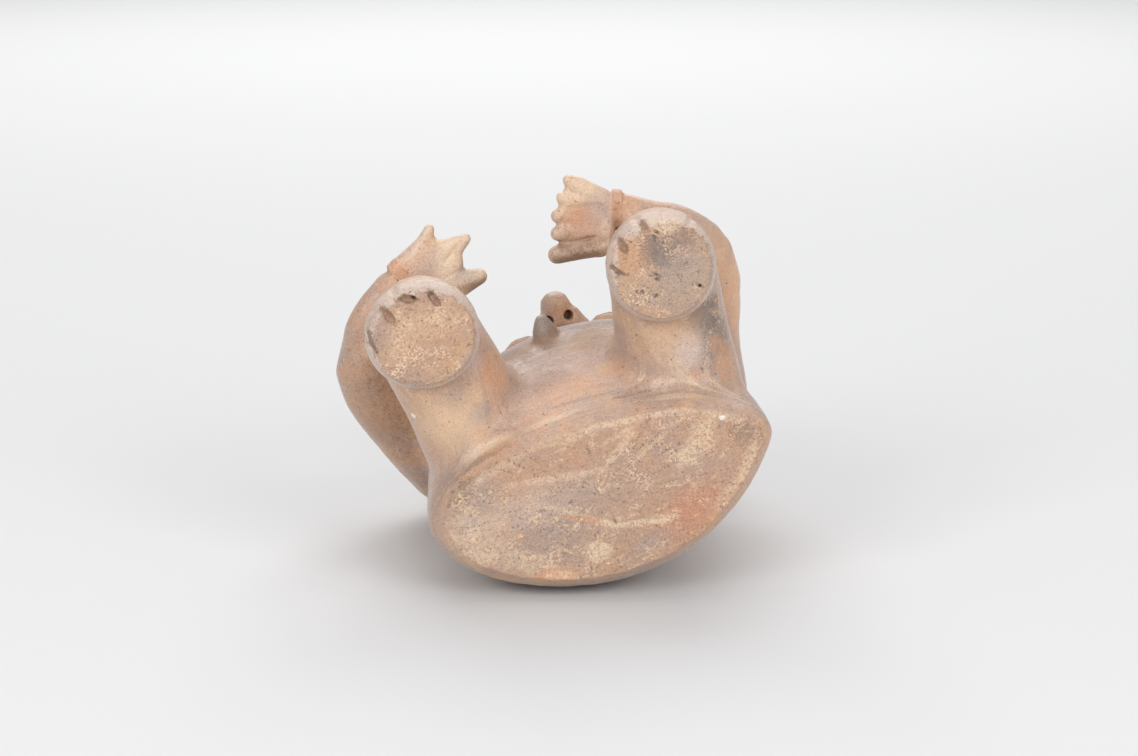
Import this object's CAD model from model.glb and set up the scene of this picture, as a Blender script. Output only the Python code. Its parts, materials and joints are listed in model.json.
# A hand-built figure of fired clay, lying on its back: clay skin, fired colours, floor, light and camera.
import json
import math
import bpy
from mathutils import Matrix, Vector


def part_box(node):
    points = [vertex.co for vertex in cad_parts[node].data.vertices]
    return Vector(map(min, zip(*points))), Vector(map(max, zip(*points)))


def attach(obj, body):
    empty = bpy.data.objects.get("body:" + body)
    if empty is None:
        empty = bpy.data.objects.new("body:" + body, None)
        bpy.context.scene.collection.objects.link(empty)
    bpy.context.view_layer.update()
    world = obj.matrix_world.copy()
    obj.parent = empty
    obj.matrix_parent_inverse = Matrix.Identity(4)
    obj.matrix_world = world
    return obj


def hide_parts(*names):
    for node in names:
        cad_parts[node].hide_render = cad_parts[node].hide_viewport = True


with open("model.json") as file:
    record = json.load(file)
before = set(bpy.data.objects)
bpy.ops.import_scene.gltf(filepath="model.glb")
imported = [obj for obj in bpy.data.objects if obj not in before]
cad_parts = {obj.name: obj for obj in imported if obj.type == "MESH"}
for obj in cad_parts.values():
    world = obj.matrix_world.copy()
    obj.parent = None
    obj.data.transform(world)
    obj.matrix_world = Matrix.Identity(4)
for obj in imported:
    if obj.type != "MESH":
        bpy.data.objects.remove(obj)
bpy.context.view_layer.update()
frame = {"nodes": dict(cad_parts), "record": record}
mm = 0.001

# The figure is modelled sitting up, x across, -y to its front and z up from the seat, then laid down.
lying = {"roll": math.radians(16.5), "soleForward": 93.25 * mm}
across = Vector((math.cos(lying["roll"]), 0, math.sin(lying["roll"])))
backward = Vector((math.sin(lying["roll"]), 0, -math.cos(lying["roll"])))
headward = Vector((0, 1, 0))


def middleOf(node):
    low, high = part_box(node)
    return (low + high) / 2


seatMiddle = (middleOf("right_foot") + middleOf("left_foot")) / 2 + backward * lying["soleForward"]
seatMiddle.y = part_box("seat_slab")[0].y
layDown = Matrix((across, backward, headward)).transposed().to_4x4()
layDown.translation = seatMiddle
standUp = layDown.inverted()
print("frame read, seat middle", [round(v, 4) for v in seatMiddle])

# Voxel sizes, and how far fillets and smoothing go when forms are pressed together.
grain = {"form": 1.6 * mm, "skin": (0.75 * mm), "torn": 0.5 * mm, "hull": 2.5 * mm}
pressed = {"bigFillet": 5, "bigSmoothing": 8, "smallFillet": 1.8, "smallSmoothing": 4}

headNodes = ["head_front_slab", "head_back_slab"]
faceNodes = ["nose", "mouth", "right_eye", "left_eye", "right_ear", "left_ear"]


# Working habits: pick objects, apply a modifier, join, carve.
def pick(*objects):
    bpy.ops.object.select_all(action="DESELECT")
    for item in objects:
        item.select_set(True)
    bpy.context.view_layer.objects.active = objects[0]


def apply(piece, kind, **settings):
    pick(piece)
    bpy.ops.object.modifier_add(type=kind)
    modifier = piece.modifiers[-1]
    for setting, value in settings.items():
        setattr(modifier, setting, value)
    bpy.ops.object.modifier_apply(modifier=modifier.name)


def join(name, pieces):
    pick(*pieces)
    if len(pieces) > 1:
        bpy.ops.object.join()
    pieces[0].name = name
    return pieces[0]


def moulded(name, nodes):
    copies = []
    for node in nodes:
        copy = bpy.data.objects.new(node + "_clay", frame["nodes"][node].data.copy())
        bpy.context.scene.collection.objects.link(copy)
        copy.data.transform(standUp)
        copies.append(copy)
    piece = join(name, copies)
    bpy.ops.object.mode_set(mode="EDIT")
    bpy.ops.mesh.select_all(action="SELECT")
    bpy.ops.mesh.remove_doubles(threshold=1e-6)
    bpy.ops.object.mode_set(mode="OBJECT")
    piece.data.materials.clear()
    return piece


# A pellet of clay from one point to another: a ball whose far half is pulled out, then pressed flat.
def pellet(start, end, width, thick):
    start, end = Vector(start) * mm, Vector(end) * mm
    bpy.ops.mesh.primitive_uv_sphere_add(segments=24, ring_count=14, radius=width * mm / 2,
                                         location=(0, 0, 0))
    ball = bpy.context.object
    bpy.ops.object.mode_set(mode="EDIT")
    bpy.ops.mesh.select_all(action="DESELECT")
    bpy.ops.object.mode_set(mode="OBJECT")
    for vertex in ball.data.vertices:
        vertex.select = vertex.co.z > 0
    bpy.ops.object.mode_set(mode="EDIT")
    bpy.ops.transform.translate(value=(0, 0, (end - start).length))
    bpy.ops.mesh.select_all(action="SELECT")
    bpy.ops.transform.resize(value=(1, thick / width, 1))
    bpy.ops.object.mode_set(mode="OBJECT")
    ball.rotation_mode = "QUATERNION"
    ball.rotation_quaternion = (end - start).to_track_quat("Z", "Y")
    ball.location = start
    bpy.ops.object.transform_apply(location=True, rotation=True, scale=True)
    return ball


def fuse(piece, size, fillet, smoothing):
    apply(piece, "REMESH", mode="VOXEL", voxel_size=size)
    apply(piece, "DISPLACE", strength=fillet * mm, mid_level=0)
    apply(piece, "REMESH", mode="VOXEL", voxel_size=size)
    apply(piece, "DISPLACE", strength=-fillet * mm, mid_level=0)
    apply(piece, "SMOOTH", factor=0.5, iterations=smoothing)


def carve(piece, cutter, operation="DIFFERENCE"):
    apply(piece, "BOOLEAN", object=cutter, operation=operation, solver="MANIFOLD")


def drop(*objects):
    for item in objects:
        bpy.data.objects.remove(item)


# A flat of clay drawn out between balls, given as (place, width, thickness).
def paddle(discs):
    balls = []
    for place, width, thick in discs:
        bpy.ops.mesh.primitive_uv_sphere_add(segments=20, ring_count=12, radius=width * mm / 2,
                                             location=Vector(place) * mm, scale=(1, 1, thick / width))
        bpy.ops.object.transform_apply(location=True, rotation=True, scale=True)
        balls.append(bpy.context.object)
    form = join("paddle", balls)
    bpy.ops.object.mode_set(mode="EDIT")
    bpy.ops.mesh.select_all(action="SELECT")
    bpy.ops.mesh.convex_hull()
    bpy.ops.mesh.normals_make_consistent(inside=False)
    bpy.ops.object.mode_set(mode="OBJECT")
    return form


def merged(forms):
    whole = forms[0]
    for form in forms[1:]:
        carve(whole, form, "UNION")
    drop(*forms[1:])
    return whole


def spanOf(node):
    points = [standUp @ vertex.co / mm for vertex in frame["nodes"][node].data.vertices]
    low = Vector([min(point[axis] for point in points) for axis in range(3)])
    high = Vector([max(point[axis] for point in points) for axis in range(3)])
    return low, high


# Big forms first: slabs, legs and arm rolls, pressed together with thick fillets.
bigForms = ["seat_slab", "body_front_wall", "body_back_wall", *headNodes,
            "right_leg", "left_leg", "right_upper_arm", "left_upper_arm", "right_forearm", "left_forearm"]
forearmBows = {
    "right": [((-66, -107, 100), 12, 11), ((-80, -98, 101), 15, 14),
              ((-92, -86, 103), 17, 17), ((-96, -72, 108), 18, 19)],
    "left": [((47, -109.4, 100), 13.4, 11), ((60, -101, 102), 14, 13),
             ((73, -93, 105), 15, 15), ((83, -80, 109), 17, 18)],
}


# More discs between the given ones, on a smooth curve through them.
def eased(discs, parts=3):
    knots = [Vector((*place, width, thick)) for place, width, thick in [discs[0], *discs, discs[-1]]]
    route = []
    for before, first, second, after in zip(knots, knots[1:], knots[2:], knots[3:]):
        for step in range(parts):
            share = step / parts
            curve = (second - before) * share + (before * 2 - first * 5 + second * 4 - after) * share ** 2
            curve += (first * 3 - before - second * 3 + after) * share ** 3
            route.append(first + curve / 2)
    return [(tuple(disc[:3]), disc[3], disc[4]) for disc in [*route, knots[-1]]]


bows = []
for steps in forearmBows.values():
    discs = eased(steps)
    bows += [paddle([first, second]) for first, second in zip(discs, discs[1:])]
figure = join("figure", [moulded("figure", bigForms), *bows])
fuse(figure, grain["form"], pressed["bigFillet"], pressed["bigSmoothing"])
print("big forms fused", len(figure.data.vertices))

smallForms = moulded("small", ["right_foot", "left_foot", "navel_nub", *faceNodes])
figure = join("figure", [figure, smallForms])
fuse(figure, grain["skin"], pressed["smallFillet"], pressed["smallSmoothing"])
print("small forms fused", len(figure.data.vertices))

# Hands: a flat palm, drawn out prongs and stubs for fingers, and the strip round the wrist.
hands = {
    "right": {
        "palm": [((-64, -110, 99.6), 12.5, 10), ((-50, -118, 98.8), 10, 8), ((-37, -112, 98.4), 9, 7.5),
                 ((-37.5, -104.5, 98.6), 7, 7.5), ((-46, -95, 100), 14, 10)],
        "fingers": [[((-50, -118, 98.8), 10, 8), ((-44.6, -125.6, 98), 5.2, 5.6)],
                    [((-40, -112, 98.4), 13, 8), ((-29.4, -115.8, 97.6), 5.4, 6)],
                    [((-42, -95, 100), 15, 10), ((-28.6, -96, 99), 8.4, 8)]],
        "marks": [((-41.5, -121.5, 94.4), (-45.5, -112, 94.6), 1.8, 0.9),
                  ((-32.5, -103, 94.6), (-44, -100.5, 94.8), 1.6, 1.2),
                  ((-29.5, -117, 94.2), (-42, -108, 94.8), 2.4, 0.6)],
        "strip": {"place": (-64.9, -109.9, 99.8), "along": (0.85, -0.52, -0.06),
                  "width": 11.9, "thick": 10.2, "deep": 6.5},
    },
    "left": {
        "palm": [((38.5, -114.5, 98.8), 13, 10), ((29.5, -125.5, 98.4), 9.5, 8), ((23, -118, 98), 9, 8),
                 ((19, -104, 98.6), 9, 8), ((32, -95, 100), 14.5, 11), ((38, -108, 99.4), 13, 11)],
        "fingers": [[((31, -122.5, 98.2), 10, 8.4), ((26.6, -128.6, 97.6), 7.2, 7.4)],
                    [((27, -118.5, 98), 8.6, 8), ((21.2, -121.4, 97.2), 7, 7.4)],
                    [((26, -112.5, 98), 8.4, 8), ((16.4, -113.8, 97.2), 6.8, 7.4)],
                    [((26, -105.5, 98.2), 8.4, 8), ((13.8, -105.4, 97.4), 6.8, 7.4)],
                    [((32, -94.5, 99.4), 12, 10.6), ((10.6, -95.4, 98.4), 8.6, 9.4)]],
        "marks": [((21, -126, 93.6), (29, -121.4, 94), 1.5, 1.3),
                  ((15.6, -117.6, 93.2), (26, -115.6, 94), 1.5, 1.3),
                  ((11.6, -109.6, 93), (24, -109.2, 94), 1.5, 1.4),
                  ((8.6, -100.6, 93.4), (32, -98.6, 94), 1.9, 2.1),
                  ((25, -110.5, 93.2), (34, -108.5, 93.2), 15, 2.1)],
        "strip": {"place": (45.6, -112, 99.6), "along": (-0.93, -0.35, -0.08),
                  "width": 12.3, "thick": 10.6, "deep": 4.8},
    },
}


def wristStrip(place, along, width, thick, deep):
    bpy.ops.mesh.primitive_cylinder_add(vertices=40, radius=width * mm / 2, depth=deep * mm,
                                        location=(0, 0, 0))
    strip = bpy.context.object
    strip.data.transform(Matrix.Diagonal((1, thick / width, 1, 1)))
    apply(strip, "BEVEL", width=0.9 * mm, segments=3, limit_method="ANGLE")
    strip.rotation_mode = "QUATERNION"
    strip.rotation_quaternion = Vector(along).to_track_quat("Z", "Y")
    strip.location = Vector(place) * mm
    bpy.ops.object.transform_apply(location=True, rotation=True, scale=True)
    return strip


handGrain = {"size": (0.7 * mm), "fillet": 0.6, "smoothing": 3}
for side, hand in hands.items():
    forms = [paddle(hand["palm"])] + [paddle(finger) for finger in hand["fingers"]]
    clay = join(side + "HandClay", forms)
    fuse(clay, handGrain["size"], handGrain["fillet"], handGrain["smoothing"])
    carve(figure, clay, "UNION")
    strip = wristStrip(**hand["strip"])
    carve(figure, strip, "UNION")
    drop(clay, strip)
print("hands set", len(figure.data.vertices))

# Pressed and cut marks: toes, pits, nostrils, slits and finger grooves. Each is (start, end, width, depth).
marks = {
    "rightToes": [
        ((-78.2, -102.6, 0), (-78.6, -97.8, 0), 2.2, 2.6),
        ((-78.6, -97.8, 0), (-77.4, -93, 0), 2.2, 2.4),
        ((-69.4, -111, 0), (-66.4, -105, 0), 4.4, 2.4),
        ((-58.6, -112.9, 0), (-55.2, -111.4, 0), 4.6, 1.9),
        ((-54.2, -112.2, 0), (-54, -112, 3.4), 2.2, 1.1),
        ((-46.4, -110.8, 0), (-44.6, -106.4, 0), 3.8, 2.4),
    ],
    "leftToes": [
        ((34.4, -99.6, 0.6), (36.8, -96.4, 0), 2.6, 2.2),
        ((36.6, -96.4, 0), (39.5, -94.6, 0), 2, 1.2),
        ((41.2, -110, 0.4), (42.1, -105.6, 0), 3.8, 2.2),
        ((53, -114.4, 0.2), (53.8, -111, 0), 4.4, 1.4),
        ((57.8, -109.2, 0), (58, -109, 2), 1.9, 0.95),
        ((56.6, -107.4, 0), (56.8, -107.2, 1.4), 1.5, 0.75),
        ((52.5, -90.8, 0), (52.7, -90.6, 2.2), 1.8, 0.9),
        ((52.2, -88.6, 0), (52.4, -88.4, 1.6), 1.6, 0.8),
        ((42.8, -85.3, 0), (43, -85.1, 1.6), 1.5, 0.75),
        ((44.6, -84.8, 0), (44.7, -84.6, 1.4), 1.5, 0.75),
        ((69.8, -80.2, 0), (70, -80, 2.2), 1.8, 0.9),
        ((49.4, -81.4, 0), (50.2, -81.2, 0.4), 1.5, 0.75),
    ],
    "fingers": hands["right"]["marks"] + hands["left"]["marks"],
    "face": [],
}
faceCuts = {"nostrilSide": 0.19, "nostrilBack": 0.42, "nostrilWidth": 5.2, "nostrilDepth": 6.5,
            "nostrilLean": 0.8, "nostrilBelow": 2, "slitShare": 0.72, "slitWidth": 2.2, "slitDepth": 2.4,
            "slitIn": 0.6}
noseLow, noseHigh = spanOf("nose")
for sign in (-1, 1):
    nostrilX = sign * (noseHigh.x - noseLow.x) * faceCuts["nostrilSide"]
    nostrilY = noseLow.y + (noseHigh.y - noseLow.y) * faceCuts["nostrilBack"]
    nostrilFoot = (nostrilX, nostrilY, noseLow.z - faceCuts["nostrilBelow"])
    nostrilTop = (nostrilX * faceCuts["nostrilLean"], nostrilY, noseLow.z + faceCuts["nostrilDepth"])
    marks["face"].append((nostrilFoot, nostrilTop, faceCuts["nostrilWidth"], faceCuts["nostrilWidth"] / 2))
for node in ("mouth", "right_eye", "left_eye"):
    low, high = spanOf(node)
    middle = (low + high) / 2
    half = (high.x - low.x) / 2 * faceCuts["slitShare"]
    slitY = low.y + faceCuts["slitIn"]
    marks["face"].append(((middle.x - half, slitY, middle.z), (middle.x + half, slitY, middle.z),
                          faceCuts["slitDepth"] * 2, faceCuts["slitWidth"] / 2))


# Hand-formed unevenness, the worn flats that it rests on, and the scraped grit of the seat and soles.
def uneven(piece, name, size, amount, group="", level=0.5):
    texture = bpy.data.textures.new(name, "CLOUDS")
    texture.noise_scale = size * mm
    texture.noise_depth = 2
    apply(piece, "DISPLACE", texture=texture, texture_coords="LOCAL", strength=amount * mm, mid_level=level,
          vertex_group=group)


touch = {"waveSize": 34, "wave": 1.2, "dentSize": 11, "dent": 0.5, "gritSize": 2.6, "grit": -0.8,
         "scraped": 0.35, "worn": 3, "drying": 0.998, "tornSize": 2.6, "torn": 1.3}
uneven(figure, "thumbWaves", touch["waveSize"], touch["wave"])
uneven(figure, "fingerDents", touch["dentSize"], touch["dent"])
figure.data.transform(Matrix.Scale(touch["drying"], 4))
bpy.ops.mesh.primitive_cube_add(size=1, location=(0, 0, -0.5))
underFloor = bpy.context.object
underFloor.data.transform(standUp @ underFloor.matrix_world)
underFloor.matrix_world = Matrix()
carve(figure, underFloor)
bpy.ops.mesh.primitive_cube_add(size=1, location=(0, 0, -0.5))
underSeat = bpy.context.object
bpy.ops.object.transform_apply(location=True, rotation=True, scale=True)
carve(figure, underSeat)
drop(underFloor, underSeat)
for place, group in marks.items():
    cutter = merged([pellet(start, end, width, depth * 2) for start, end, width, depth in group])
    if "Toes" in place:
        apply(cutter, "REMESH", mode="VOXEL", voxel_size=grain["torn"])
        uneven(cutter, place + "Torn", touch["tornSize"], touch["torn"])
    carve(figure, cutter)
    drop(cutter)
print("marks pressed", len(figure.data.vertices))
apply(figure, "REMESH", mode="VOXEL", voxel_size=grain["skin"])
apply(figure, "SMOOTH", factor=0.5, iterations=touch["worn"])
scraped = figure.vertex_groups.new(name="scraped")
lowest = [vertex.index for vertex in figure.data.vertices if vertex.co.z < touch["scraped"] * mm]
scraped.add(lowest, 1, "REPLACE")
uneven(figure, "grit", touch["gritSize"], touch["grit"], "scraped", 0)
print("surface worked", len(figure.data.vertices), "seat", spanOf("seat_slab"))


# The clay skin is cut where the real parts were luted together, so each part is a closed piece of its own.
def copied(piece, name):
    pick(piece)
    bpy.ops.object.duplicate()
    copy = bpy.context.object
    copy.name = name
    return copy


def block(low, high):
    low, high = Vector(low) * mm, Vector(high) * mm
    bpy.ops.mesh.primitive_cube_add(size=1, location=(low + high) / 2, scale=high - low)
    bpy.ops.object.transform_apply(location=True, rotation=True, scale=True)
    return bpy.context.object


# A cube that takes in what lies past a point, looking towards another one.
def past(point, towards, reach=120):
    point, towards = Vector(point) * mm, Vector(towards) * mm
    bpy.ops.mesh.primitive_cube_add(size=reach * mm, location=(0, 0, reach * mm / 2))
    side = bpy.context.object
    bpy.ops.object.transform_apply(location=True, rotation=True, scale=True)
    side.rotation_mode = "QUATERNION"
    side.rotation_quaternion = (towards - point).to_track_quat("Z", "Y")
    side.location = point
    bpy.ops.object.transform_apply(location=True, rotation=True, scale=True)
    return side


# The convex hull of some nodes, swollen or, with a value below zero, shrunk.
def hullOf(name, nodes, swell):
    hull = moulded(name, nodes)
    bpy.ops.object.mode_set(mode="EDIT")
    bpy.ops.mesh.select_all(action="SELECT")
    bpy.ops.mesh.convex_hull()
    bpy.ops.mesh.normals_make_consistent(inside=False)
    bpy.ops.object.mode_set(mode="OBJECT")
    apply(hull, "REMESH", mode="VOXEL", voxel_size=grain["hull"])
    apply(hull, "DISPLACE", strength=swell * mm, mid_level=0)
    return hull


def within(piece, name, *cutters):
    part = copied(piece, name)
    for cutter in cutters:
        carve(part, cutter, "INTERSECT")
    return part


def without(piece, name, *cutters):
    part = copied(piece, name)
    for cutter in cutters:
        carve(part, cutter)
    return part


# The parts of a piece that no longer hang together, without the crumbs.
def looseParts(piece, fewest=150):
    pick(piece)
    bpy.ops.object.mode_set(mode="EDIT")
    bpy.ops.mesh.select_all(action="SELECT")
    bpy.ops.mesh.separate(type="LOOSE")
    bpy.ops.object.mode_set(mode="OBJECT")
    found = list(bpy.context.selected_objects)
    kept = [part for part in found if len(part.data.vertices) >= fewest]
    drop(*[part for part in found if part not in kept])
    return kept


def centreOf(piece):
    corners = [Vector(corner) for corner in piece.bound_box]
    return sum(corners, Vector()) / 8 / mm


# Takes the part whose box is centred nearest to a point out of the list.
def nearest(parts, point):
    close = min(parts, key=lambda part: (centreOf(part) - Vector(point)).length)
    parts.remove(close)
    return close


cuts = {"seatTop": 9, "middle": -4, "bodyWall": 8, "headWall": 7, "footTop": 13, "footBack": -66,
        "luting": 0.8}
collar = {"side": 64, "deep": 52, "low": 160, "high": 180}
around = {"side": 150, "deep": 200, "below": -50, "above": 300}
roughPlaces = {"head": (0, -4, 210), "navel": (-4, -68, 72), "leg": (52, -85, 30), "arm": (70, -55, 120)}
bodyNodes = ["seat_slab", "body_front_wall", "body_back_wall"]
bodyHull = hullOf("bodyHull", bodyNodes, cuts["luting"])
bodyHollow = hullOf("bodyHollow", bodyNodes, -cuts["bodyWall"])
headHull = hullOf("headHull", headNodes, cuts["luting"])
headHollow = hullOf("headHollow", headNodes, -cuts["headWall"])
neckCollar = block((-collar["side"], -collar["deep"], collar["low"]),
                   (collar["side"], collar["deep"], collar["high"]))
carve(headHull, neckCollar, "UNION")
drop(neckCollar)


# Everything on the given side of a cut, as a block.
def region(front=-around["deep"], back=around["deep"], below=around["below"], above=around["above"]):
    return block((-around["side"], front, below), (around["side"], back, above))


limits = {
    "front": region(back=cuts["middle"]),
    "back": region(front=cuts["middle"]),
    "seat": region(above=cuts["seatTop"]),
    "aboveSeat": region(below=cuts["seatTop"]),
    "foot": region(back=cuts["footBack"], above=cuts["footTop"]),
}
pieces = {}
body = within(figure, "body", bodyHull)
pieces["seat_slab"] = within(body, "seatSlab", limits["seat"])
walls = within(body, "walls", limits["aboveSeat"])
carve(walls, bodyHollow)
pieces["body_front_wall"] = within(walls, "bodyFrontWall", limits["front"])
pieces["body_back_wall"] = within(walls, "bodyBackWall", limits["back"])
limbs = looseParts(without(figure, "limbs", bodyHull))
print("limbs apart", [[round(c) for c in centreOf(limb)] + [len(limb.data.vertices)] for limb in limbs])

headPart = nearest(limbs, roughPlaces["head"])
head = within(headPart, "head", headHull)
carve(head, headHollow)
pieces["head_front_slab"] = within(head, "headFrontSlab", limits["front"])
pieces["head_back_slab"] = within(head, "headBackSlab", limits["back"])
features = looseParts(without(headPart, "features", headHull))
print("features apart", [[round(c) for c in centreOf(part)] + [len(part.data.vertices)] for part in features])
featurePlaces = {"right_eye": (-27, -28, 216), "left_eye": (27, -28, 216), "right_ear": (-62, 2, 209),
                 "left_ear": (62, 2, 209), "nose": (0, -39, 209), "mouth": (0, -30, 188)}
for node, place in featurePlaces.items():
    pieces[node] = nearest(features, place)
drop(body, walls, head, headPart)

armJoints = {
    "right": {"elbow": (-97, -66, 110), "wrist": (-62, -108.5, 100)},
    "left": {"elbow": (80.5, -71, 110), "wrist": (42.5, -108, 100)},
}
bandCore = {"width": 10, "thick": 8, "overlap": 8}
pieces["navel_nub"] = nearest(limbs, roughPlaces["navel"])
for side, sign in (("right", -1), ("left", 1)):
    mirror = Vector((sign, 1, 1))
    leg = nearest(limbs, mirror * Vector(roughPlaces["leg"]))
    pieces[side + "_foot"] = within(leg, side + "Foot", limits["foot"])
    pieces[side + "_leg"] = without(leg, side + "Leg", limits["foot"])
    arm = nearest(limbs, mirror * Vector(roughPlaces["arm"]))
    elbow, wrist = [Vector(armJoints[side][joint]) for joint in ("elbow", "wrist")]
    strip = hands[side]["strip"]
    along = Vector(strip["along"]).normalized()
    bandStart = Vector(strip["place"]) - along * strip["deep"] / 2
    handStart = Vector(strip["place"]) + along * strip["deep"] / 2
    pastElbow = past(elbow, wrist)
    pastHand = past(handStart, handStart + along)
    pastBand = past(bandStart, handStart)
    core = pellet(bandStart - along * bandCore["overlap"], handStart + along * bandCore["overlap"],
                  bandCore["width"], bandCore["thick"])
    pieces[side + "_upper_arm"] = without(arm, side + "UpperArm", pastElbow)
    pieces[side + "_hand"] = within(arm, side + "Hand", pastElbow, pastHand)
    forearm = within(arm, side + "Forearm", pastElbow)
    carve(forearm, pastHand)
    band = within(forearm, side + "Wristband", pastBand)
    carve(band, core)
    carve(forearm, band)
    pieces[side + "_wristband"], pieces[side + "_forearm"] = band, forearm
    drop(leg, arm, pastElbow, pastHand, pastBand, core)
drop(figure, bodyHull, bodyHollow, headHull, headHollow, *limits.values(), *limbs, *features)
print("pieces cut", {node: len(piece.data.polygons) for node, piece in pieces.items()})

# Fired clay: one set of colours over the whole figure, in millimetres of its own sitting frame.
tones = {
    "tan": (0.53, 0.325, 0.215, 1),
    "mauve": (0.44, 0.30, 0.235, 1),
    "ochre": (0.61, 0.40, 0.235, 1),
    "orange": (0.60, 0.32, 0.185, 1),
    "red": (0.54, 0.255, 0.155, 1),
    "brown": (0.24, 0.155, 0.105, 1),
    "umber": (0.30, 0.17, 0.10, 1),
    "grey": (0.36, 0.305, 0.275, 1),
    "lilac": (0.53, 0.43, 0.39, 1),
    "soot": (0.12, 0.105, 0.10, 1),
    "cream": (0.78, 0.60, 0.42, 1),
    "pale": (0.66, 0.50, 0.385, 1),
    "sand": (0.70, 0.525, 0.38, 1),
    "white": (0.85, 0.80, 0.74, 1),
    "rim": (0.58, 0.48, 0.415, 1),
    "peach": (0.76, 0.43, 0.27, 1),
    "crumb": (0.82, 0.58, 0.38, 1),
    "dust": (0.72, 0.67, 0.62, 1),
    "crease": (0.50, 0.40, 0.33, 1),
}


# A stain drawn out from one point to another.
def drag(start, end, width, tone, amount, raggedness, softness, deep=3):
    start, end = Vector(start), Vector(end)
    turn = math.degrees(math.atan2(end.y - start.y, end.x - start.x))
    reach = ((end - start).length / 2 + width, width, deep)
    return (start + end) / 2, reach, turn, tone, amount, raggedness, softness


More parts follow.
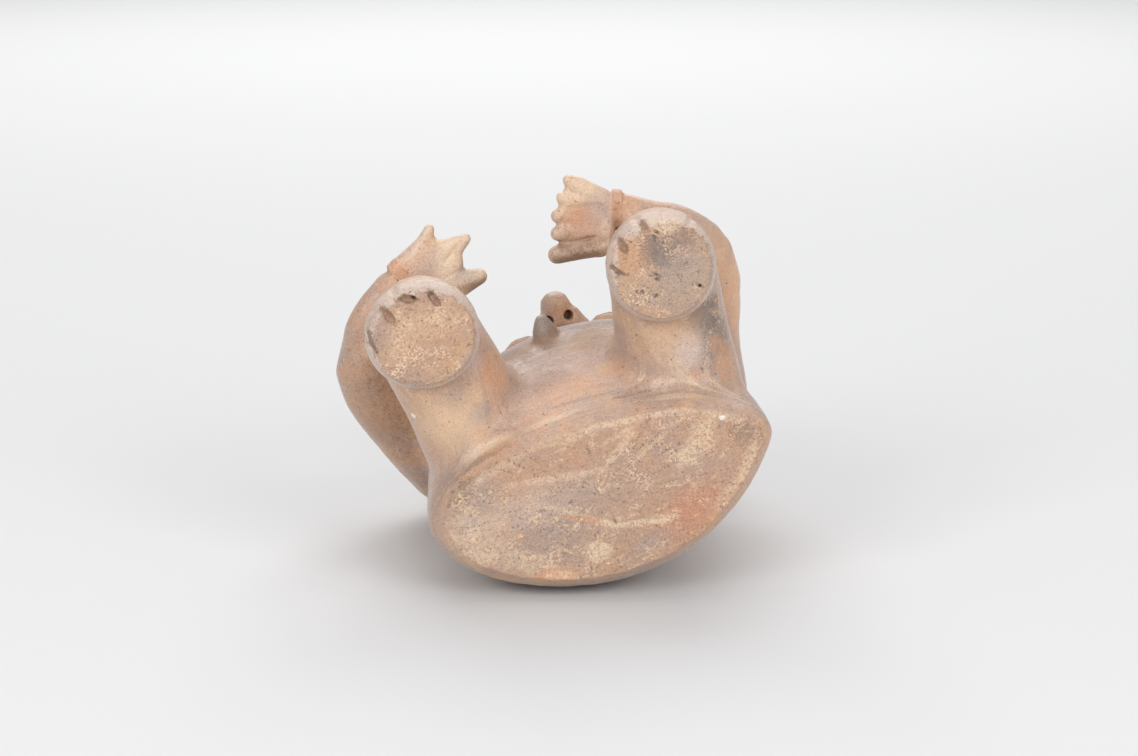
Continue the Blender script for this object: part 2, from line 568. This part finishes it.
# Fire clouds, soot, scuffs and traces: (place, reach, turn in degrees, tone, amount, raggedness, softness).
stains = [
    ((-34, -4, 0), (26, 9, 6), -6, "lilac", 0.5, 0.8, 0.7),
    ((-10, 2, 0), (26, 8, 6), -8, "grey", 0.35, 1.2, 0.7),
    ((-56, -12, 0), (14, 8, 6), -30, "grey", 0.5, 1.4, 0.6),
    ((30, 2, 0), (32, 10, 6), -10, "mauve", 0.5, 0.6, 0.8),
    ((-22, 14, 0), (24, 9, 6), 4, "grey", 0.35, 0.6, 0.7),
    ((20, 27, 0), (12, 4, 6), -16, "grey", 0.5, 0.8, 0.5),
    ((0, -20, 0), (34, 7, 6), -10, "orange", 0.25, 0.8, 0.8),
    ((37, 18.5, 0), (16, 9, 8), -26, "red", 0.8, 0.5, 0.7),
    ((-60, 3, 0), (14, 13, 6), 20, "cream", 0.55, 1.6, 0.5),
    ((-46, 18, 0), (22, 5, 6), 28, "cream", 0.55, 1.6, 0.5),
    ((-60, -18.5, 0), (7, 3.5, 6), -33, "brown", 0.75, 1.8, 0.4),
    ((72, -9, 0), (7, 7, 6), 0, "brown", 0.45, 1.8, 0.4),
    drag((41, -4.5, 0), (56, -17, 0), 4.6, "cream", 0.8, 1.3, 0.3),
    drag((-33, -15.8, 0), (4, -11, 0), 1.5, "cream", 0.7, 2.0, 0.3),
    drag((4, -11, 0), (23, -24.4, 0), 1.7, "cream", 0.75, 2.0, 0.3),
    drag((-32, -6.3, 0), (-1.6, 12.4, 0), 1.5, "cream", 0.6, 2.0, 0.3),
    drag((-18.5, 5, 0), (-2.6, 12.1, 0), 1.4, "orange", 0.8, 1.8, 0.3),
    drag((-2.6, 12.1, 0), (2, 16, 0), 1.6, "cream", 0.9, 1.4, 0.3),
    drag((2, 15.8, 0), (25.6, 19.6, 0), 1.5, "cream", 0.95, 1.4, 0.3),
    drag((20, 18, 0), (26, 19, 0), 2.3, "cream", 0.8, 1.0, 0.3),
    drag((-18, -30, 0), (4, -30.5, 0), 2.2, "cream", 0.6, 1.6, 0.5),
    drag((2, -31.5, 0), (31, -29, 0), 1.8, "cream", 0.8, 1.4, 0.4),
    drag((31, -29.9, 0), (51, -25.6, 0), 1.4, "cream", 0.85, 1.2, 0.4),
    drag((51, -25.6, 0), (72, -15, 0), 1.6, "cream", 0.6, 1.6, 0.5),
    drag((11, -23.3, 0), (28, -28, 0), 1.4, "cream", 0.7, 1.8, 0.3),
    drag((13, -7.6, 0), (37, -20, 0), 1.5, "cream", 0.55, 2.2, 0.3),
    drag((-61, -19.5, 0), (-20, -31, 0), 1.6, "cream", 0.55, 1.6, 0.5),
    drag((52, 19, 0), (64, 10.5, 0), 2.4, "cream", 0.6, 1.8, 0.5),
    drag((64, 10.5, 0), (73, -2, 0), 2.4, "cream", 0.6, 1.8, 0.5),
    ((-9, 25.4, 0), (6.4, 4.8, 5), 10, "cream", 1.0, 0.9, 0.15),
    ((-8, 25.8, 0), (3.6, 2.4, 5), 30, "pale", 0.6, 1.4, 0.3),
    ((-30, 31, 0), (10, 3.6, 5), 14, "orange", 0.9, 0.9, 0.25),
    ((-28, 31, 0), (6, 2, 5), 14, "cream", 0.95, 1.2, 0.25),
    ((62.8, -18.7, 0), (1.5, 1.1, 2), 0, "white", 0.9, 0.3, 0.3),
    drag((18, -39, 13), (36, -37.6, 12.4), 0.9, "brown", 0.7, 0.9, 0.4, 1.1),
    drag((30, -37.5, 15), (60, -29, 14), 1.2, "brown", 0.55, 1.2, 0.5, 1.0),
    drag((-10, -42, 17), (20, -41, 17), 1.6, "brown", 0.4, 1.2, 0.6, 1.2),
    drag((40, -34, 9), (68, -22, 9), 2, "cream", 0.5, 1.2, 0.6, 1.4),
    drag((-30, -38, 11), (8, -41, 10), 3, "cream", 0.45, 1.2, 0.6, 1.6),
    drag((-58, -30, 11), (-30, -38, 12), 2.4, "cream", 0.5, 1.2, 0.6, 1.6),
    drag((-62, -26, 7), (-34, -35, 7), 2, "brown", 0.4, 1.4, 0.6, 1.4),
    ((-58, -97, 0), (21, 16, 3), 0, "mauve", 0.4, 1.2, 0.6),
    ((-65.5, -94.5, 0), (8, 9.5, 3), 0, "crumb", 0.9, 2.0, 0.4),
    ((-52, -92, 0), (17, 14, 3), 0, "tan", 0.6, 1.4, 0.5),
    ((-50, -98, 0), (13, 7, 3), 10, "crumb", 0.5, 2.2, 0.4),
    ((-73, -102, 1), (5, 9, 5), -12, "mauve", 0.6, 0.8, 0.5),
    ((-50, -86, 0), (14, 8, 3), 0, "orange", 0.4, 1.2, 0.6),
    ((-60, -84, 1), (16, 5, 4), -12, "mauve", 0.5, 1.4, 0.6),
    ((56.5, -98.5, 0), (7.5, 7, 3), 30, "soot", 0.7, 2.0, 0.4),
    ((68, -103, 0), (5, 5, 3), 30, "soot", 0.4, 2.4, 0.4),
    ((62, -86, 0), (15, 13, 3), 0, "grey", 0.5, 1.6, 0.5),
    ((62, -111, 0), (8, 4, 4), 10, "cream", 0.7, 1.0, 0.3),
    ((44, -100, 0), (7, 10, 4), 0, "orange", 0.5, 0.8, 0.6),
    ((-44, -49, 14), (5, 4, 6), 0, "grey", 0.6, 1.3, 0.4),
    ((-52, -60, 14), (8, 5, 6), 0, "grey", 0.35, 1.3, 0.5),
    ((-37, -76, 8), (6, 7, 10), 0, "lilac", 0.7, 0.8, 0.6),
    ((-29, -62, 22), (8, 8, 10), 0, "orange", 0.6, 0.8, 0.6),
    ((-26, -51, 26), (8, 6, 9), 0, "mauve", 0.9, 0.6, 0.5),
    ((-62, -50, 18), (18, 14, 16), 0, "ochre", 0.6, 0.8, 0.7),
    ((-72.5, -55.5, 22), (1.3, 1.3, 2.5), 0, "white", 0.9, 0.5, 0.3),
    ((68, -63, 14), (9, 8, 10), 0, "soot", 0.75, 1.8, 0.5),
    ((71, -50, 20), (8, 11, 14), 0, "soot", 0.6, 2.4, 0.5),
    ((57, -51, 13), (7, 8, 8), 0, "lilac", 0.8, 0.6, 0.6),
    ((69.5, -49, 18), (2.6, 4, 4), 0, "orange", 0.6, 2.4, 0.5),
    ((71, -38, 22), (4.5, 8, 8), 0, "orange", 0.7, 2.0, 0.5),
    ((38.5, -59, 15), (2.6, 5, 5), 0, "brown", 0.45, 1.0, 0.6),
    ((48, -62, 14), (15, 12, 12), 0, "ochre", 0.6, 0.8, 0.7),
    ((50, -64, 14), (17, 14, 12), 0, "mauve", 0.3, 1.4, 0.7),
    ((84, -82, 108), (10, 11, 15), 0, "grey", 0.6, 1.0, 0.6),
    ((24, -112, 95), (18, 20, 8), 0, "tan", 0.4, 0.8, 0.8),
    ((27, -107, 93), (9, 9, 5), 0, "orange", 0.95, 0.6, 0.4),
    drag((10, -99.6, 93.5), (32, -97, 94), 3, "umber", 0.7, 0.7, 0.5, 5),
    drag((8, -91.5, 95), (30, -89, 95), 5, "brown", 0.95, 0.7, 0.6, 7),
    ((36, -112, 94), (6, 8, 5), 0, "lilac", 0.5, 0.8, 0.6),
    ((24, -122, 95), (14, 6, 8), 0, "cream", 0.5, 0.8, 0.7),
    ((46, -110, 96), (4.5, 8, 10), 0, "orange", 0.55, 1.0, 0.5),
    ((-64, -110, 96), (6, 6, 8), 0, "orange", 0.55, 1.4, 0.5),
    ((-40, -112, 94), (13, 9, 6), 0, "cream", 0.5, 0.6, 0.7),
    ((-35, -100, 96), (6, 5, 5), 0, "grey", 0.5, 0.8, 0.6),
    ((-29, -91, 98), (8, 4, 6), 0, "brown", 0.5, 0.6, 0.6),
    ((-102, -40, 104), (16, 32, 22), 0, "brown", 0.3, 1.2, 0.8),
    ((-86, -88, 102), (16, 12, 16), 0, "orange", 0.35, 0.8, 0.8),
    ((93, -45, 112), (11, 30, 26), 0, "peach", 0.85, 0.7, 0.8),
    ((86, -62, 112), (12, 20, 24), 0, "ochre", 0.4, 0.8, 0.8),
    ((86, -80, 106), (12, 12, 12), 0, "tan", 0.6, 0.8, 0.6),
    ((0, -60, 78), (58, 18, 24), 0, "brown", 0.34, 0.8, 0.8),
    ((-48, -108, 94), (7, 8, 6), 0, "lilac", 0.6, 1.0, 0.6),
    ((-54, -104, 94), (9, 5, 6), -20, "mauve", 0.6, 1.0, 0.6),
    ((-41, -106, 94), (5.5, 7, 6), 20, "cream", 0.55, 1.0, 0.6),
    ((-52, -113, 94), (8, 4.5, 6), -35, "orange", 0.3, 1.0, 0.6),
    ((-33, -92.5, 97), (9, 3, 6), 0, "brown", 0.5, 0.8, 0.5),
    ((-60, -47, 14), (16, 9, 9), 10, "cream", 0.3, 1.0, 0.7),
    ((-43, -121, 94), (6, 4, 6), -50, "ochre", 0.5, 0.8, 0.6),
    ((28, -104, 94), (14, 6, 6), 0, "mauve", 0.5, 0.8, 0.6),
    ((-6, -72, 68), (6, 8, 8), 0, "grey", 0.7, 0.6, 0.5),
    ((-1, -63, 63), (10, 6, 8), 0, "umber", 0.35, 1.4, 0.5),
    ((0, -62, 92), (34, 12, 18), 0, "lilac", 0.45, 0.6, 0.8),
    ((-8, -54, 42), (22, 12, 15), 0, "mauve", 0.85, 0.8, 0.7),
    ((-14, -52, 34), (16, 9, 6), 0, "brown", 0.35, 1.6, 0.6),
    ((10, -46, 25), (24, 8, 7), 0, "orange", 0.35, 1.0, 0.8),
]
toeDirt = {"narrow": 2.3, "pitLength": 1, "share": 0.45, "pitSpot": (0.8, 0.7, 3), "spot": (1.6, 1.3, 3)}
for start, end, width, _ in marks["rightToes"] + marks["leftToes"]:
    pit = math.hypot(end[0] - start[0], end[1] - start[1]) < toeDirt["pitLength"]
    tone = "brown" if width < toeDirt["narrow"] else "umber"
    stains.append(drag(start, end, width * toeDirt["share"], tone, 0.95, 0.8, 0.4, 4))
    spot = toeDirt["pitSpot"] if pit else toeDirt["spot"]
    stains.append((start, spot, 0, "soot" if pit else "brown", 0.8, 0.7, 0.3))


def add(tree, kind, inputs, output=0, **settings):
    item = tree.nodes.new("ShaderNode" + kind)
    for setting, value in settings.items():
        setattr(item, setting, value)
    for socket, value in inputs.items():
        if isinstance(value, bpy.types.NodeSocket):
            tree.links.new(value, item.inputs[socket])
        else:
            item.inputs[socket].default_value = value
    return item.outputs[output]


def cloud(tree, place, size, detail=3.0, roughness=0.55):
    inputs = {"Vector": place, "Scale": 1 / size, "Detail": detail, "Roughness": roughness}
    return add(tree, "TexNoise", inputs)


def ramp(tree, value, low, high, least=0.0, most=1.0):
    span = {"Value": value, "From Min": low, "From Max": high, "To Min": least, "To Max": most}
    return add(tree, "MapRange", span, interpolation_type="SMOOTHSTEP")


def times(tree, first, second):
    return add(tree, "Math", {0: first, 1: second}, operation="MULTIPLY")


def plus(tree, first, second):
    return add(tree, "Math", {0: first, 1: second}, operation="ADD")


def tint(tree, under, over, amount, blend="MIX"):
    return add(tree, "Mix", {0: amount, 6: under, 7: over}, 2, data_type="RGBA", blend_type=blend)


def stain(tree, place, ragged, centre, reach, turn, raggedness, softness):
    local = add(tree, "Mapping", {"Vector": place, "Location": centre, "Rotation": (0, 0, math.radians(turn)),
                                  "Scale": reach}, vector_type="TEXTURE")
    distance = add(tree, "VectorMath", {0: local}, 1, operation="LENGTH")
    edge = plus(tree, distance, times(tree, ragged, raggedness))
    return ramp(tree, edge, 1 + softness, 1 - softness)


# The scraped pad of each sole, by its middle and reach, inside the smooth rim of the foot.
padFit = {"shift": {"right": (1.5, 2.5), "left": (1.0, 2.5)}, "wide": 0.89, "long": 0.87, "deep": 8}
pads = {}
for side, shift in padFit["shift"].items():
    low, high = spanOf(side + "_foot")
    middle, half = (low + high) / 2, (high - low) / 2
    reach = (half.x * padFit["wide"], half.y * padFit["long"], padFit["deep"])
    pads[side + "_foot"] = ((middle.x + shift[0], middle.y + shift[1], 0), reach)


# Sizes of the clay's blotches in millimetres, how drawn marks are stretched, and its shine.
blotches = {"broad": 34, "flats": 26, "patch": 19, "flecks": 13, "middle": 11, "fine": 3.2, "pocks": 1.8,
            "pins": 1.7, "grit": 1.3, "grains": 1.2, "dots": 0.95, "dust": 0.8, "dirt": 0.7}
drawn = {"flow": (0.022, 0.012, 0.55), "scratchTurn": -9, "scratch": (60, 13, 13)}
shine = {"Specular IOR Level": 0.5, "Sheen Weight": 0.2, "Sheen Roughness": 0.4}
creaseReach = 6 * mm


# Whether a stain comes near enough to a piece to be worth its nodes.
def reaches(box, centre, reach, spread=1.6, margin=3):
    room = [distance * spread + margin for distance in reach]
    return all(box[0][axis] - room[axis] < centre[axis] < box[1][axis] + room[axis] for axis in range(3))


def firedClay(name, look, box):
    material = bpy.data.materials.new("fired_" + name)
    material.use_nodes = True
    tree = material.node_tree
    shader = tree.nodes["Principled BSDF"]
    objectPlace = add(tree, "TexCoord", {}, "Object")
    turn = standUp.to_3x3().to_euler()
    place = add(tree, "Mapping", {"Vector": objectPlace, "Location": standUp.translation / mm,
                                  "Rotation": turn, "Scale": (1 / mm, 1 / mm, 1 / mm)})
    height = add(tree, "SeparateXYZ", {0: place}, 2)
    broad = cloud(tree, place, blotches["broad"], 3)
    middle = cloud(tree, place, blotches["middle"], 4, 0.6)
    fine = cloud(tree, place, blotches["fine"], 5, 0.65)
    dust = cloud(tree, place, blotches["dust"], 3, 0.6)
    ragged = plus(tree, times(tree, plus(tree, middle, -0.5), 1.2), times(tree, plus(tree, fine, -0.5), 1.4))
    ragged = plus(tree, ragged, times(tree, plus(tree, dust, -0.5), 0.8))
    grains = ramp(tree, cloud(tree, place, blotches["grains"], 3, 0.6), 0.36, 0.58, 0.12, 1)

    colour = tint(tree, tones[look["body"]], tones[look["cloud"]], ramp(tree, broad, 0.40, 0.60))
    patchy = cloud(tree, place, blotches["patch"], 4, 0.6)
    patchy = plus(tree, patchy, times(tree, plus(tree, fine, -0.5), 0.15))
    colour = tint(tree, colour, tones["ochre"], ramp(tree, patchy, 0.50, 0.64, 0, look["ochre"]))
    colour = tint(tree, colour, tones["grey"], ramp(tree, patchy, 0.46, 0.32, 0, look["veil"]))
    colour = tint(tree, colour, tones["mauve"], ramp(tree, middle, 0.5, 0.64, 0, 0.6))
    colour = tint(tree, colour, tones["orange"], ramp(tree, middle, 0.46, 0.35, 0, 0.4))
    colour = tint(tree, colour, tones["pale"], ramp(tree, fine, 0.54, 0.74, 0, look["dusty"]))
    colour = tint(tree, colour, tones["brown"], ramp(tree, fine, 0.44, 0.28, 0, 0.5))
    # Smoothing marks that run level round the rim and the limbs.
    flow = add(tree, "Mapping", {"Vector": place, "Scale": drawn["flow"]})
    marks = cloud(tree, flow, 1, 5, 0.6)
    rimZone = times(tree, ramp(tree, height, 3, 7), ramp(tree, height, 30, 12, 0.12, 1))
    dark = times(tree, ramp(tree, marks, 0.54, 0.64), rimZone)
    light = times(tree, ramp(tree, marks, 0.46, 0.36), rimZone)
    colour = tint(tree, colour, tones["brown"], times(tree, dark, 0.24))
    colour = tint(tree, colour, tones["cream"], times(tree, light, 0.36))

    # Scraped flats: sandy and pocked, with pale traces dragged along one way.
    flat = ramp(tree, plus(tree, height, times(tree, ragged, 0.8)), 1.5, 0.5)
    if name in pads:
        pad = stain(tree, place, ragged, *pads[name], 0, 0.22, 0.07)
        flat = times(tree, flat, pad)
        ring = times(tree, ramp(tree, pad, 1, 0), ramp(tree, height, 10, 4))
        colour = tint(tree, colour, tones["rim"], times(tree, ring, look["ring"]))
    if look["scraped"]:
        blotch = ramp(tree, cloud(tree, place, blotches["flats"], 3), 0.42, 0.6)
        ground = tint(tree, tones[look["flat"]], tones["mauve"], blotch)
        ground = tint(tree, ground, tones["orange"], ramp(tree, patchy, 0.52, 0.66, 0, 0.35))
        ground = tint(tree, ground, tones["umber"], 0.1)
        colour = tint(tree, colour, ground, times(tree, flat, 0.62))
    for centre, reach, spin, tone, amount, raggedness, softness in stains:
        if reaches(box, centre, reach):
            mask = stain(tree, place, ragged, centre, reach, spin, raggedness, softness)
            if look["scraped"] and tone in ("cream", "crumb"):
                mask = times(tree, mask, times(tree, grains, 0.85))
            colour = tint(tree, colour, tones[tone], times(tree, mask, amount))
    if look["scraped"]:
        dots = ramp(tree, cloud(tree, place, blotches["dots"], 1, 0.5), 0.50, 0.57)
        spun = (0, 0, math.radians(drawn["scratchTurn"]))
        scratch = add(tree, "Mapping", {"Vector": place, "Rotation": spun, "Scale": drawn["scratch"]},
                      vector_type="TEXTURE")
        trail = cloud(tree, scratch, 1, 3, 0.55)
        narrow = add(tree, "Math", {0: plus(tree, trail, -0.5)}, operation="ABSOLUTE")
        traces = times(tree, ramp(tree, narrow, 0.02, 0.003), ramp(tree, fine, 0.44, 0.58))
        traces = times(tree, traces, plus(tree, times(tree, dots, 0.6), 0.4))
        colour = tint(tree, colour, tones["crumb"], times(tree, times(tree, traces, flat), look["scraped"]))
        strewn = ramp(tree, cloud(tree, place, blotches["flecks"], 4, 0.6), 0.47, 0.66)
        flecks = times(tree, dots, strewn)
        colour = tint(tree, colour, tones["crumb"], times(tree, times(tree, flecks, flat), look["specks"]))
        pock = ramp(tree, cloud(tree, place, blotches["pocks"], 3, 0.7), 0.37, 0.29)
        colour = tint(tree, colour, tones["brown"], times(tree, times(tree, pock, flat), look["pocks"]))
        dark = ramp(tree, cloud(tree, place, blotches["dirt"], 3, 0.6), 0.44, 0.30)
        colour = tint(tree, colour, tones["umber"], times(tree, times(tree, dark, flat), 0.5))

    # Grain, pin holes, and dirt held in the creases.
    colour = tint(tree, colour, tones["dust"], ramp(tree, dust, 0.56, 0.32, 0, 0.75), "MULTIPLY")
    pin = ramp(tree, cloud(tree, place, blotches["pins"], 1, 0.4), 0.255, 0.225)
    colour = tint(tree, colour, tones["brown"], times(tree, pin, 0.8))
    crease = add(tree, "AmbientOcclusion", {"Distance": creaseReach}, 1, samples=8)
    colour = tint(tree, colour, tones["crease"], ramp(tree, crease, 0.8, 0.35, 0, 0.8), "MULTIPLY")
    tree.links.new(colour, shader.inputs["Base Color"])

    wear = plus(tree, times(tree, patchy, 0.5), times(tree, fine, 0.5))
    gloss = ramp(tree, wear, 0.42, 0.60, look["glossy"], look["matte"])
    rough = plus(tree, gloss, times(tree, ramp(tree, marks, 0.5, 0.38), -0.12))
    if look["scraped"]:
        rough = plus(tree, rough, times(tree, flat, 0.3))
    tree.links.new(rough, shader.inputs["Roughness"])
    for socket, value in shine.items():
        shader.inputs[socket].default_value = value

    relief = plus(tree, times(tree, middle, 0.5), times(tree, fine, 0.28))
    relief = plus(tree, relief, times(tree, dust, 0.07))
    relief = plus(tree, relief, times(tree, times(tree, marks, rimZone), 0.7))
    relief = plus(tree, relief, times(tree, pin, -0.5))
    if look["scraped"]:
        grit = cloud(tree, place, blotches["grit"], 4, 0.7)
        relief = plus(tree, relief, times(tree, times(tree, grit, flat), 0.7))
        relief = plus(tree, relief, times(tree, times(tree, traces, flat), 0.25))
        relief = plus(tree, relief, times(tree, times(tree, pock, flat), -0.5))
    bump = add(tree, "Bump", {"Strength": 1.0, "Distance": look["relief"] * mm, "Height": relief})
    tree.links.new(bump, shader.inputs["Normal"])
    return material


smooth = {"body": "tan", "cloud": "mauve", "ochre": 0.6, "veil": 0.45, "dusty": 0.45, "scraped": 0,
          "flat": "tan", "specks": 0, "pocks": 0, "ring": 0, "glossy": 0.30, "matte": 0.58, "relief": 0.9}
looks = {
    "tan_clay": smooth,
    "grey_clay": smooth,
    "seat_clay": {**smooth, "scraped": 0.9, "specks": 0.8, "pocks": 0.5, "matte": 0.66},
    "sole_clay": {**smooth, "scraped": 0.2, "flat": "ochre", "specks": 0.85, "pocks": 0.65, "ring": 0.75,
                  "relief": 1.1},
    "hand_clay": {**smooth, "body": "sand", "cloud": "pale", "ochre": 0.4, "dusty": 0.4, "veil": 0.3},
    "red_clay": {**smooth, "cloud": "orange"},
    "pale_clay": smooth,
}
softEdge = math.radians(50)
slots = {row["node"]: row["material_slot"] for row in frame["record"]["subparts"]}
for node, piece in pieces.items():
    points = [vertex.co / mm for vertex in piece.data.vertices]
    box = [[limit(point[axis] for point in points) for axis in range(3)] for limit in (min, max)]
    piece.data.transform(layDown)
    piece.name = "clay_" + node
    piece.vertex_groups.clear()
    piece.data.materials.clear()
    piece.data.materials.append(firedClay(node, looks[slots[node]], box))
    pick(piece)
    bpy.ops.object.shade_smooth_by_angle(angle=softEdge)
    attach(piece, "root")
    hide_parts(node)
print("clay fired", len(pieces))

# Floor, light and camera.
studio = {"floorRadius": 7.0, "rise": 3.0, "sky": 0.5, "paper": 0.66, "figureAim": (0, 0, 0.08),
          "farAim": (0, 2.0, 0)}
bpy.ops.mesh.primitive_circle_add(vertices=128, radius=studio["floorRadius"], fill_type="NGON",
                                  location=(0, 0, 0))
floor = bpy.context.object
floor.name = "sweep"
bpy.ops.object.mode_set(mode="EDIT")
bpy.ops.mesh.select_all(action="SELECT")
bpy.ops.mesh.extrude_region_move(TRANSFORM_OT_translate={"value": (0, 0, studio["rise"])})
bpy.ops.mesh.delete(type="ONLY_FACE")
bpy.ops.object.mode_set(mode="OBJECT")
floorMaterial = bpy.data.materials.new("sweepPaper")
floorMaterial.use_nodes = True
paper = floorMaterial.node_tree.nodes["Principled BSDF"]
paper.inputs["Base Color"].default_value = (studio["paper"], studio["paper"], studio["paper"] * 1.005, 1)
paper.inputs["Roughness"].default_value = 0.9
paper.inputs["Specular IOR Level"].default_value = 0.1
floor.data.materials.append(floorMaterial)

world = bpy.data.worlds.new("studioAir")
bpy.context.scene.world = world
world.use_nodes = True
world.node_tree.nodes["Background"].inputs["Color"].default_value = (0.98, 0.985, 1.0, 1)
world.node_tree.nodes["Background"].inputs["Strength"].default_value = studio["sky"]


def softbox(name, at, aim, size, power):
    light = bpy.data.lights.new(name, "AREA")
    light.size = size
    light.energy = power
    lamp = bpy.data.objects.new(name, light)
    bpy.context.scene.collection.objects.link(lamp)
    lamp.location = at
    lamp.rotation_mode = "QUATERNION"
    lamp.rotation_quaternion = (Vector(at) - Vector(aim)).to_track_quat("Z", "Y")
    lamp.visible_camera = False
    return lamp


lamps = {
    "overhead": {"at": (0.0, 0.1, 1.7), "size": 1.2, "power": 4},
    "leftFront": {"at": (-1.3, -1.8, 1.0), "size": 1.2, "power": 28.4},
    "rightFront": {"at": (1.3, -1.8, 1.0), "size": 1.2, "power": 25},
    "background": {"at": (0.0, 2.8, 2.5), "size": 3.2, "power": 92},
}
for name, lamp in lamps.items():
    aim = studio["farAim"] if name == "background" else studio["figureAim"]
    softbox(name, lamp["at"], aim, lamp["size"], lamp["power"])

shot = {"lens": 80, "sensor": 36, "eye": (34.8, -303.5, -1110.1), "forward": (-0.029, 0.217, 0.976)}
camera = bpy.data.cameras.new("camera")
view = bpy.data.objects.new("camera", camera)
bpy.context.scene.collection.objects.link(view)
bpy.context.scene.camera = view
camera.lens = shot["lens"]
camera.sensor_width = shot["sensor"]
camera.clip_start = 0.01
camera.clip_end = 30
eye = layDown @ Vector([distance * mm for distance in shot["eye"]])
forward = layDown.to_3x3() @ Vector(shot["forward"])
view.location = eye
view.rotation_mode = "QUATERNION"
view.rotation_quaternion = (-forward).to_track_quat("Z", "Y")
bpy.context.scene.view_settings.view_transform = "Standard"
